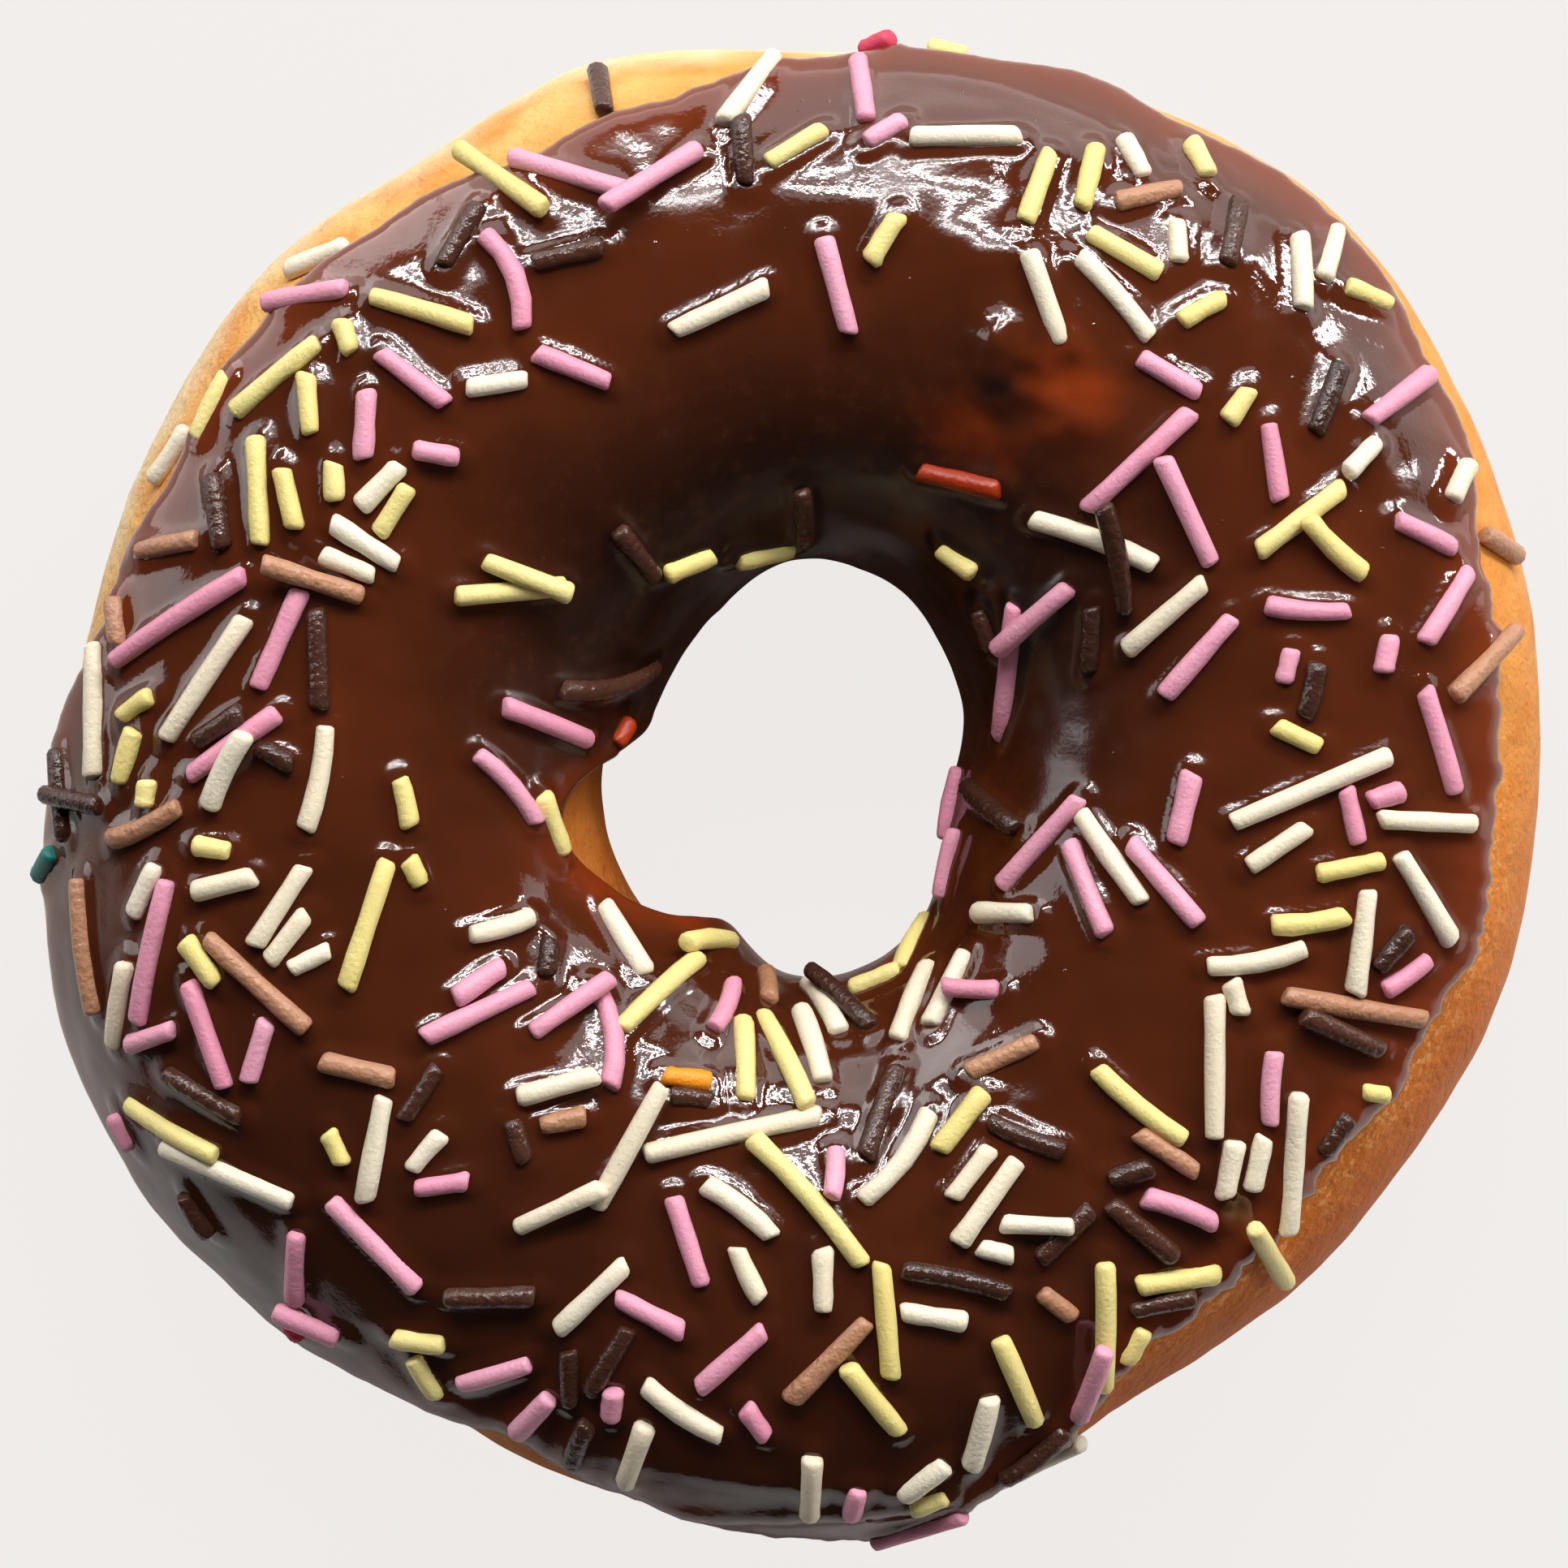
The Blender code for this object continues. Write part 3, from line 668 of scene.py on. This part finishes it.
@functools.cache
def ragged_edge(turn):
    """The icing's finished outer edge, which is ragged at the front right."""
    around = math.tau * turn
    towards = max(0.0, math.cos(around - math.radians(RAGGED_DIRECTION))) ** 2
    place = Vector((math.cos(around), math.sin(around), 0.0)) * DOUGH_RIM[0] / RAGGED_SIZE
    reach = RAGGED_LEAST + (RAGGED - RAGGED_LEAST) * towards
    return outer_edge(turn) + reach * (noise.noise(place) + 0.6 * noise.noise(place * 2.1))


def fold_rise(turn, lean):
    """The flowing folds that the icing set in, which fade out at both ends."""
    rise = 0.0
    direction = 360 * turn
    for start, end, fold_lean, height in FOLDS:
        along = (direction - start) / (end - start)
        if 0 < along < 1:
            wander = FOLD_WANDER * math.sin(math.radians(direction * 7 + fold_lean * 9))
            across = (lean - fold_lean - wander) / FOLD_WIDTH
            rise += height * math.sin(math.pi * along) * math.exp(-across * across)
    return rise


def closeness(point, x, y, spread):
    """1 at a place seen from above, fading to nothing round it."""
    return math.exp(-((point.x - x) ** 2 + (point.y - y) ** 2) / spread ** 2)


def torn_rise(point):
    """The lumps and wrinkles where the icing tore and set again, and the dent at its front edge."""
    lumps = sum(rise * closeness(point, x, y, spread) for x, y, rise, spread in LUMPS)
    return lumps + WRINKLE * closeness(point, *WRINKLED) * noise.noise(point / WRINKLE_SIZE)


def glaze_relief(turn, lean, point):
    """How the icing's surface rises and falls as it flowed."""
    coarse = noise.noise(point / GLAZE_SIZE)
    fine = noise.noise(point / GLAZE_RIPPLE_SIZE)
    flowed = GLAZE_RELIEF * coarse + GLAZE_RIPPLE * fine + fold_rise(turn, lean)
    return flowed + torn_rise(point)


def glaze_top(turn, lean, sprinkle_marks):
    """The height of the finished icing above the dough, down to nothing at its edges."""
    from_edge = min(lean - ragged_edge(turn), inner_edge(turn) - lean)
    share = max(0.0, min(1.0, from_edge / EDGE_MARGIN))
    lip = math.sqrt(1 - (1 - share) ** 2)
    point = icing_point(turn, lean)
    bead = BEAD * math.exp(-((from_edge - EDGE_MARGIN) / EDGE_MARGIN) ** 2)
    full = JOINT_GAP + ICING_THICKNESS + swell(turn, lean) + glaze_relief(turn, lean, point) + bead
    return SEATED + (full - SEATED) * lip + meniscus(point, sprinkle_marks)


def meniscus(point, sprinkle_marks):
    """How far the icing climbs a sprinkle that is close by."""
    distance = sprinkle_marks.find(point)[2]
    beyond = max(0.0, distance - SPRINKLE_RADIUS)
    return MENISCUS * math.exp(-((beyond / MENISCUS_REACH) ** 2))


def sprinkle_marks_of(sprinkles):
    """The sprinkles' centre lines as points to measure from."""
    shares = [step / MARKS_EACH for step in range(MARKS_EACH + 1)]
    marks = [sprinkle.at(share) for sprinkle in sprinkles for share in shares]
    tree = KDTree(len(marks))
    for index, mark in enumerate(marks):
        tree.insert(mark, index)
    tree.balance()
    return tree


def thinness(turn, lean):
    thin = 0.0
    for direction, middle_lean, spread in THIN_PLACES:
        around = (360 * turn - direction + 180) % 360 - 180
        thin += math.exp(-(around ** 2 + (lean - middle_lean) ** 2) / spread ** 2)
    return min(1.0, thin)


def shadiness(turn, lean):
    """How much painted shade darkens the icing: down the back slope of the hole, and as a painted
    shadow in the hollow.
    """
    back = (math.sin(math.tau * turn) + 0.3) / 0.9
    down = (lean - SHADE_START) / SHADE_REACH
    slope = max(0.0, min(1.0, back)) * max(0.0, min(1.0, down))
    return max(slope, closeness(icing_point(turn, lean), *HOLLOW_SHADOW))


def icing_piece(sprinkles):
    shape = bmesh.new()
    thin = shape.verts.layers.float.new("thin")
    edge = shape.verts.layers.float.new("from_edge")
    deep = shape.verts.layers.float.new("deep")
    marks = sprinkle_marks_of(sprinkles)
    for vert, turn, row in ring_places(shape, ICING_STEPS, ICING_ROWS):
        start, end = ragged_edge(turn), inner_edge(turn)
        if row <= ICING_OUTSIDE_ROWS:
            lean = start + (end - start) * row / ICING_OUTSIDE_ROWS
            raised = glaze_top(turn, lean, marks)
        else:
            inside = (row - ICING_OUTSIDE_ROWS) / (ICING_ROWS - ICING_OUTSIDE_ROWS)
            lean = end + (start - end) * inside
            raised = BURIED
        vert[thin] = thinness(turn, lean)
        vert[edge] = min(lean - start, end - lean)
        # How much painted shade the icing gets here.
        vert[deep] = shadiness(turn, lean)
        vert.co = skin(turn, lean, raised) * MM
    return finished_piece("glaze", shape, glaze_finish())


def rod_template():
    """A rod of unit length and radius along Z, with all its rings at even steps."""
    shape = bmesh.new()
    bmesh.ops.create_cone(shape, cap_ends=True, segments=ROD_SIDES, radius1=1, radius2=1, depth=1)
    sides = [edge for edge in shape.edges if edge.calc_length() > ROD_SIDE_LENGTH]
    bmesh.ops.subdivide_edges(shape, edges=sides, cuts=LAST_RING - 1)
    mesh = bpy.data.meshes.new("rod")
    shape.to_mesh(mesh)
    shape.free()
    return mesh


def ring_along(ring, sprinkle):
    """A ring's share of the rod's length and its width in radii."""
    from_end = min(ring, LAST_RING - ring)
    if from_end >= len(ROD_RINGS):
        return (ring - len(ROD_RINGS) + 1) / (MIDDLE_RINGS + 1), 1.0
    distance, width = ROD_RINGS[from_end]
    share = distance * sprinkle.radius / sprinkle.length
    return (share if ring == from_end else 1 - share), width


def sprinkles_piece(kind, sprinkles):
    """All the sprinkles of one kind in one mesh, each a little uneven."""
    draw = random.Random(kind)
    template = rod_template()
    shape = bmesh.new()
    tint = shape.verts.layers.float.new("tint")
    for sprinkle in sprinkles:
        before = len(shape.verts)
        shape.from_mesh(template)
        shape.verts.ensure_lookup_table()
        tone = draw.random()
        slants = [draw.uniform(-ROD_SLANT, ROD_SLANT) / sprinkle.length for _ in range(2)]
        taper = draw.uniform(-ROD_TAPER, ROD_TAPER)
        lumps = [draw.uniform(1 - ROD_UNEVEN, 1 + ROD_UNEVEN) for _ in range(LAST_RING + 1)]
        for vert in shape.verts[before:]:
            ring = round((vert.co.z + 0.5) * LAST_RING)
            share, width = ring_along(ring, sprinkle)
            width *= sprinkle.radius * lumps[ring] * (1 + taper * (share - 0.5))
            share += slants[2 * ring > LAST_RING] * vert.co.x
            vert.co = rod_point(sprinkle, share, vert.co.x * width, vert.co.y * width) * MM
            vert[tint] = tone
    return finished_piece("sprinkles_" + kind, shape, sprinkle_finish(kind))


class Signal:
    """A node's output, so that a pattern is written as arithmetic."""

    def __init__(self, pattern, socket):
        self.pattern = pattern
        self.socket = socket

    def __add__(self, other):
        return self.pattern.maths("ADD", self, other)

    def __sub__(self, other):
        return self.pattern.maths("SUBTRACT", self, other)

    def __mul__(self, other):
        return self.pattern.maths("MULTIPLY", self, other)

    def __truediv__(self, other):
        return self.pattern.maths("DIVIDE", self, other)

    def __rsub__(self, other):
        return self.pattern.maths("SUBTRACT", other, self)

    __radd__ = __add__
    __rmul__ = __mul__


class Pattern:
    """The nodes of a material or of the room round the doughnut."""

    def __init__(self, tree):
        self.tree = tree

    def node(self, kind, settings=None, values=None):
        made = self.tree.nodes.new(kind)
        for name, value in (settings or {}).items():
            setattr(made, name, value)
        for socket, value in (values or {}).items():
            self.join(value, made.inputs[socket])
        return made

    def join(self, value, socket):
        if isinstance(value, Signal):
            self.tree.links.new(value.socket, socket)
        else:
            socket.default_value = value

    def maths(self, operation, *values):
        made = self.node("ShaderNodeMath", {"operation": operation}, dict(enumerate(values)))
        return Signal(self, made.outputs[0])

    def place(self, kind="Object"):
        return Signal(self, self.node("ShaderNodeTexCoord").outputs[kind])

    def along(self, place, direction):
        """How far a place lies along a direction."""
        values = {0: place, 1: direction}
        made = self.node("ShaderNodeVectorMath", {"operation": "DOT_PRODUCT"}, values)
        return Signal(self, made.outputs["Value"])

    def rise(self, signal, low, high):
        """0 below low, 1 above high, smooth between."""
        values = {"Value": signal, "From Min": low, "From Max": high}
        made = self.node("ShaderNodeMapRange", {"interpolation_type": "SMOOTHSTEP"}, values)
        return Signal(self, made.outputs[0])

    def blend(self, share, first, second):
        """The first colour where share is 0, the second where it is 1."""
        made = self.node("ShaderNodeMix", {"data_type": "RGBA"}, {0: share, 6: first, 7: second})
        return Signal(self, made.outputs[2])


class Finish(Pattern):
    """A material, with what is even all over set on its shader."""

    def __init__(self, name, **even):
        self.material = bpy.data.materials.new(name)
        self.material.use_nodes = True
        super().__init__(self.material.node_tree)
        self.shader = self.tree.nodes["Principled BSDF"]
        for socket, value in even.items():
            self.shader.inputs[socket.replace("_", " ")].default_value = value

    def attribute(self, name):
        made = self.node("ShaderNodeAttribute", {"attribute_name": name})
        return Signal(self, made.outputs["Fac"])

    def towards(self, x, y, z):
        """How far a point lies towards a direction from the middle of the base, in millimetres."""
        return self.along(self.place(), (x, y, z)) / MM

    def grain(self, size, detail=2.0, rough=0.5):
        """Soft noise from about 0.25 to 0.75, with grains of a size in millimetres."""
        values = {
            "Vector": self.place(),
            "Scale": 1 / (size * MM),
            "Detail": detail,
            "Roughness": rough,
        }
        return Signal(self, self.node("ShaderNodeTexNoise", values=values).outputs["Fac"])

    def cells(self, size):
        values = {"Vector": self.place(), "Scale": 1 / (size * MM)}
        return Signal(self, self.node("ShaderNodeTexVoronoi", values=values).outputs["Distance"])

    def colour(self, value):
        self.join(value, self.shader.inputs["Base Color"])

    def gloss(self, value):
        self.join(value, self.shader.inputs["Roughness"])

    def relief(self, signal, depth):
        """Bumps of a depth in millimetres."""
        made = self.node("ShaderNodeBump", values={"Height": signal, "Distance": depth * MM})
        self.join(Signal(self, made.outputs["Normal"]), self.shader.inputs["Normal"])


def shade(red, green, blue):
    """A colour as the eye reads it, from 0 to 255, made linear."""
    linear = [pow((part / 255 + 0.055) / 1.055, 2.4) for part in (red, green, blue)]
    return (*linear, 1.0)


def crust_finish():
    """Golden with a cream belt; paler at the back left as painted light, browner to the front right
    partly from its own frying and partly as painted shade, and darker in the hole as painted shade.
    """
    finish = Finish("fried_crust", Specular_IOR_Level=0.1)
    # Painted shade: browner towards the front right, the side away from the windows, on top of the
    # crust's own deeper frying there.
    browned_and_shaded = finish.rise(finish.towards(0.5, -0.87, 0.0) + (finish.grain(12) - 0.5) * 16, 6, 44)
    # Painted light: paler towards the back left, the side that faces the windows; it also lifts the
    # cream belt there.
    painted_light_back_left = finish.rise(finish.towards(-0.6, 0.8, 0.0), 0, 42)
    height = finish.towards(0.0, 0.0, 1.0) + (finish.grain(7) - 0.5) * 7
    belt = finish.rise(height, 8, 12) * (1 - finish.rise(height - painted_light_back_left * 5, 13, 19))
    belt = belt * (0.3 + 0.7 * painted_light_back_left) * (1 - browned_and_shaded)
    beyond = finish.attribute("beyond_icing")
    by_icing = 1 - finish.rise(beyond + (finish.grain(2) - 0.5) * 6, 4, 18)
    toasted = finish.rise(finish.grain(4, 4, 0.65), 0.38, 0.74)
    gold = finish.blend(toasted, shade(*CRUST_GOLD), shade(*CRUST_ORANGE))
    pale = finish.blend(finish.rise(finish.grain(6, 2), 0.35, 0.6), gold, shade(*CRUST_PALE))
    golden = finish.blend(painted_light_back_left * (1 - by_icing * 0.6), gold, pale)
    flecks = finish.rise(finish.grain(0.7, 3, 0.7), 0.5, 0.64)
    speckled = finish.blend(flecks * 0.85, shade(*CRUST_FRIED), shade(*CRUST_FLECK))
    # Away from the icing the front right turns the darker brown, which deepens that painted shade.
    brown = finish.blend(by_icing, shade(*CRUST_DARK), speckled)
    fried = finish.blend(browned_and_shaded, golden, brown)
    cream = finish.blend(finish.grain(4, 3), shade(*CRUST_PALE), shade(*CRUST_CREAM))
    outside = finish.blend(belt, fried, cream)
    # Painted shade: the crust turns a deeper brown down inside the hole.
    skin_colour = finish.blend(finish.attribute("in_hole") * 0.8, outside, shade(*HOLE_PAINTED_SHADE))
    stained = 1 - finish.rise(beyond, 0, 3)
    finish.colour(finish.blend(stained * 0.5, skin_colour, shade(*CRUST_DARK)))
    finish.gloss(0.42 + 0.2 * finish.grain(2))
    finish.relief(finish.grain(0.55, 3, 0.6) + finish.grain(1.6, 2) * 1.4, 0.22)
    return finish.material


def glaze_finish():
    finish = Finish("dark_chocolate", IOR=1.6)
    thin = finish.rise(finish.attribute("thin") + (finish.grain(4, 3) - 0.5) * 1.3, 0.25, 1.3)
    body = finish.blend(finish.grain(9), shade(*GLAZE_DARK), shade(*GLAZE_BROWN))
    # Painted shade: the icing darkens towards the front, away from the windows, and its warm rim
    # fades there too.
    front = finish.rise(finish.towards(-0.25, -0.97, 0.0) + (finish.grain(14) - 0.5) * 12, 4, 40)
    body = finish.blend(front * 0.6, body, shade(*GLAZE_FRONT_SHADE))
    rim = 1 - finish.rise(finish.attribute("from_edge"), 2, 22)
    warm = finish.blend(rim * (0.7 - 0.3 * front), body, shade(*GLAZE_WARM))
    # Painted shade: near black, with dull flecks, down the back slope of the hole and in the
    # hollow.
    deep = finish.attribute("deep")
    dull = finish.rise(finish.grain(1.2, 4, 0.7), 0.5, 0.68) * 0.5
    slope = finish.blend(dull, shade(*GLAZE_PAINTED_SHADE), shade(*GLAZE_DULL))
    shaded = finish.blend(deep * 0.9, warm, slope)
    finish.colour(finish.blend(thin, shaded, shade(*GLAZE_THIN)))
    finish.gloss(0.06 + 0.07 * finish.rise(finish.grain(2.5), 0.4, 0.7) + 0.22 * deep)
    bubbles = 1 - finish.rise(finish.cells(2.2), 0.03, 0.07)
    fine = finish.grain(0.28, 2) * 0.22 + finish.grain(0.8, 1) * 0.24
    finish.relief(fine + finish.grain(2.2, 1) + bubbles * 0.4, 0.04)
    return finish.material


def sprinkle_finish(kind):
    """Pressed sugar, or chocolate with a rough and shiny skin."""
    light, deep, roughness = SPRINKLE_COLOURS[kind]
    finish = Finish(kind + "_sugar", Specular_IOR_Level=0.4)
    tone = finish.attribute("tint") * 0.6 + finish.grain(0.6) * 0.4
    finish.colour(finish.blend(tone, shade(*light), shade(*deep)))
    finish.gloss(roughness + 0.15 * finish.grain(0.5))
    if kind in ROUGH_KINDS:
        finish.relief(finish.grain(0.45, 2, 0.5), 0.16)
    else:
        finish.relief(finish.grain(0.3, 3, 0.6), 0.08)
    return finish.material


def level_sheet(name, height, finish):
    shape = bmesh.new()
    bmesh.ops.create_grid(shape, x_segments=1, y_segments=1, size=FLOOR_HALF)
    bmesh.ops.translate(shape, vec=(0.0, 0.0, height), verts=shape.verts)
    mesh = bpy.data.meshes.new(name)
    shape.to_mesh(mesh)
    shape.free()
    mesh.materials.append(finish.material)
    sheet = bpy.data.objects.new(name, mesh)
    bpy.context.scene.collection.objects.link(sheet)
    sheet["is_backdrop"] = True
    return sheet


def make_floor():
    """A pale floor that is even to look at, over a matt one that throws the light back."""
    finish = Finish("pale_floor", Base_Color=shade(*FLOOR_COLOUR), **MATT)
    finish.shader.inputs["Emission Color"].default_value = shade(*BACKDROP)
    finish.shader.inputs["Emission Strength"].default_value = FLOOR_GLOW
    floor = level_sheet("floor", 0.0, finish)
    floor.visible_diffuse = False
    floor.visible_glossy = False
    floor.visible_shadow = False
    matt = Finish("matt_floor", Base_Color=shade(*BOUNCE_COLOUR), **MATT)
    level_sheet("floor_bounce", -BOUNCE_DEPTH, matt)


def aimed(thing, azimuth, elevation, distance):
    """Place a light round the doughnut, pointing at it."""
    turn, rise = math.radians(azimuth), math.radians(elevation)
    level = distance * math.cos(rise)
    place = Vector((level * math.cos(turn), level * math.sin(turn), distance * math.sin(rise)))
    thing.location = TARGET + place
    thing.rotation_euler = (-place).to_track_quat("-Z", "Y").to_euler()
    bpy.context.scene.collection.objects.link(thing)


def make_lights():
    """Window panes that shine, and pale walls low down that only show in the icing's gloss."""
    for name, azimuth, elevation, width, height, power in LIGHTS:
        light = bpy.data.lights.new(name, "AREA")
        light.shape = "RECTANGLE"
        light.size = width
        light.size_y = height
        light.energy = power
        lamp = bpy.data.objects.new(name, light)
        lamp.visible_glossy = name not in ONLY_LIGHTS
        lamp.visible_diffuse = name not in ONLY_REFLECTS
        aimed(lamp, azimuth, elevation, LIGHT_DISTANCE)


def make_room():
    """A room that is pale low down on the window's side, and dim overhead and on the far side."""
    world = bpy.data.worlds.new("room")
    bpy.context.scene.world = world
    world.use_nodes = True
    room = Pattern(world.node_tree)
    direction = room.place("Generated")
    window_side = room.rise(room.along(direction, (0.0, 1.0, 0.0)), -0.6, 0.3)
    overhead = room.rise(room.along(direction, (0.0, 0.0, 1.0)), 0.04, 0.32)
    around = room.blend(window_side, shade(*FAR_SIDE), shade(*BACKDROP))
    colour = room.blend(overhead, around, shade(*OVERHEAD))
    room.join(colour, world.node_tree.nodes["Background"].inputs["Color"])


def make_camera():
    lens = bpy.data.cameras.new("camera")
    lens.lens = CAMERA_LENS
    lens.clip_start = 0.01
    camera = bpy.data.objects.new("camera", lens)
    camera.location = CAMERA_PLACE
    bpy.context.scene.collection.objects.link(camera)
    bpy.context.scene.camera = camera


def main():
    sprinkles = scattered_sprinkles()
    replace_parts(dough_piece(), "dough")
    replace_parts(icing_piece(sprinkles), "icing")
    for kind in SPRINKLE_COLOURS:
        same = [sprinkle for sprinkle in sprinkles if sprinkle.kind == kind]
        nodes = {"dough" if sprinkle.on_crust else "icing" for sprinkle in same}
        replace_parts(sprinkles_piece(kind, same), *sorted(nodes))
    make_floor()
    make_lights()
    make_room()
    make_camera()
    bpy.context.scene.view_settings.view_transform = "Standard"


def write_sizes():
    """Gather the boxes of the solids and of the finished doughnut."""
    boxes = {"cad": CAD_BOX, "visual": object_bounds()}
    {name: [list(corner) for corner in box] for name, box in boxes.items()}


main()
write_sizes()
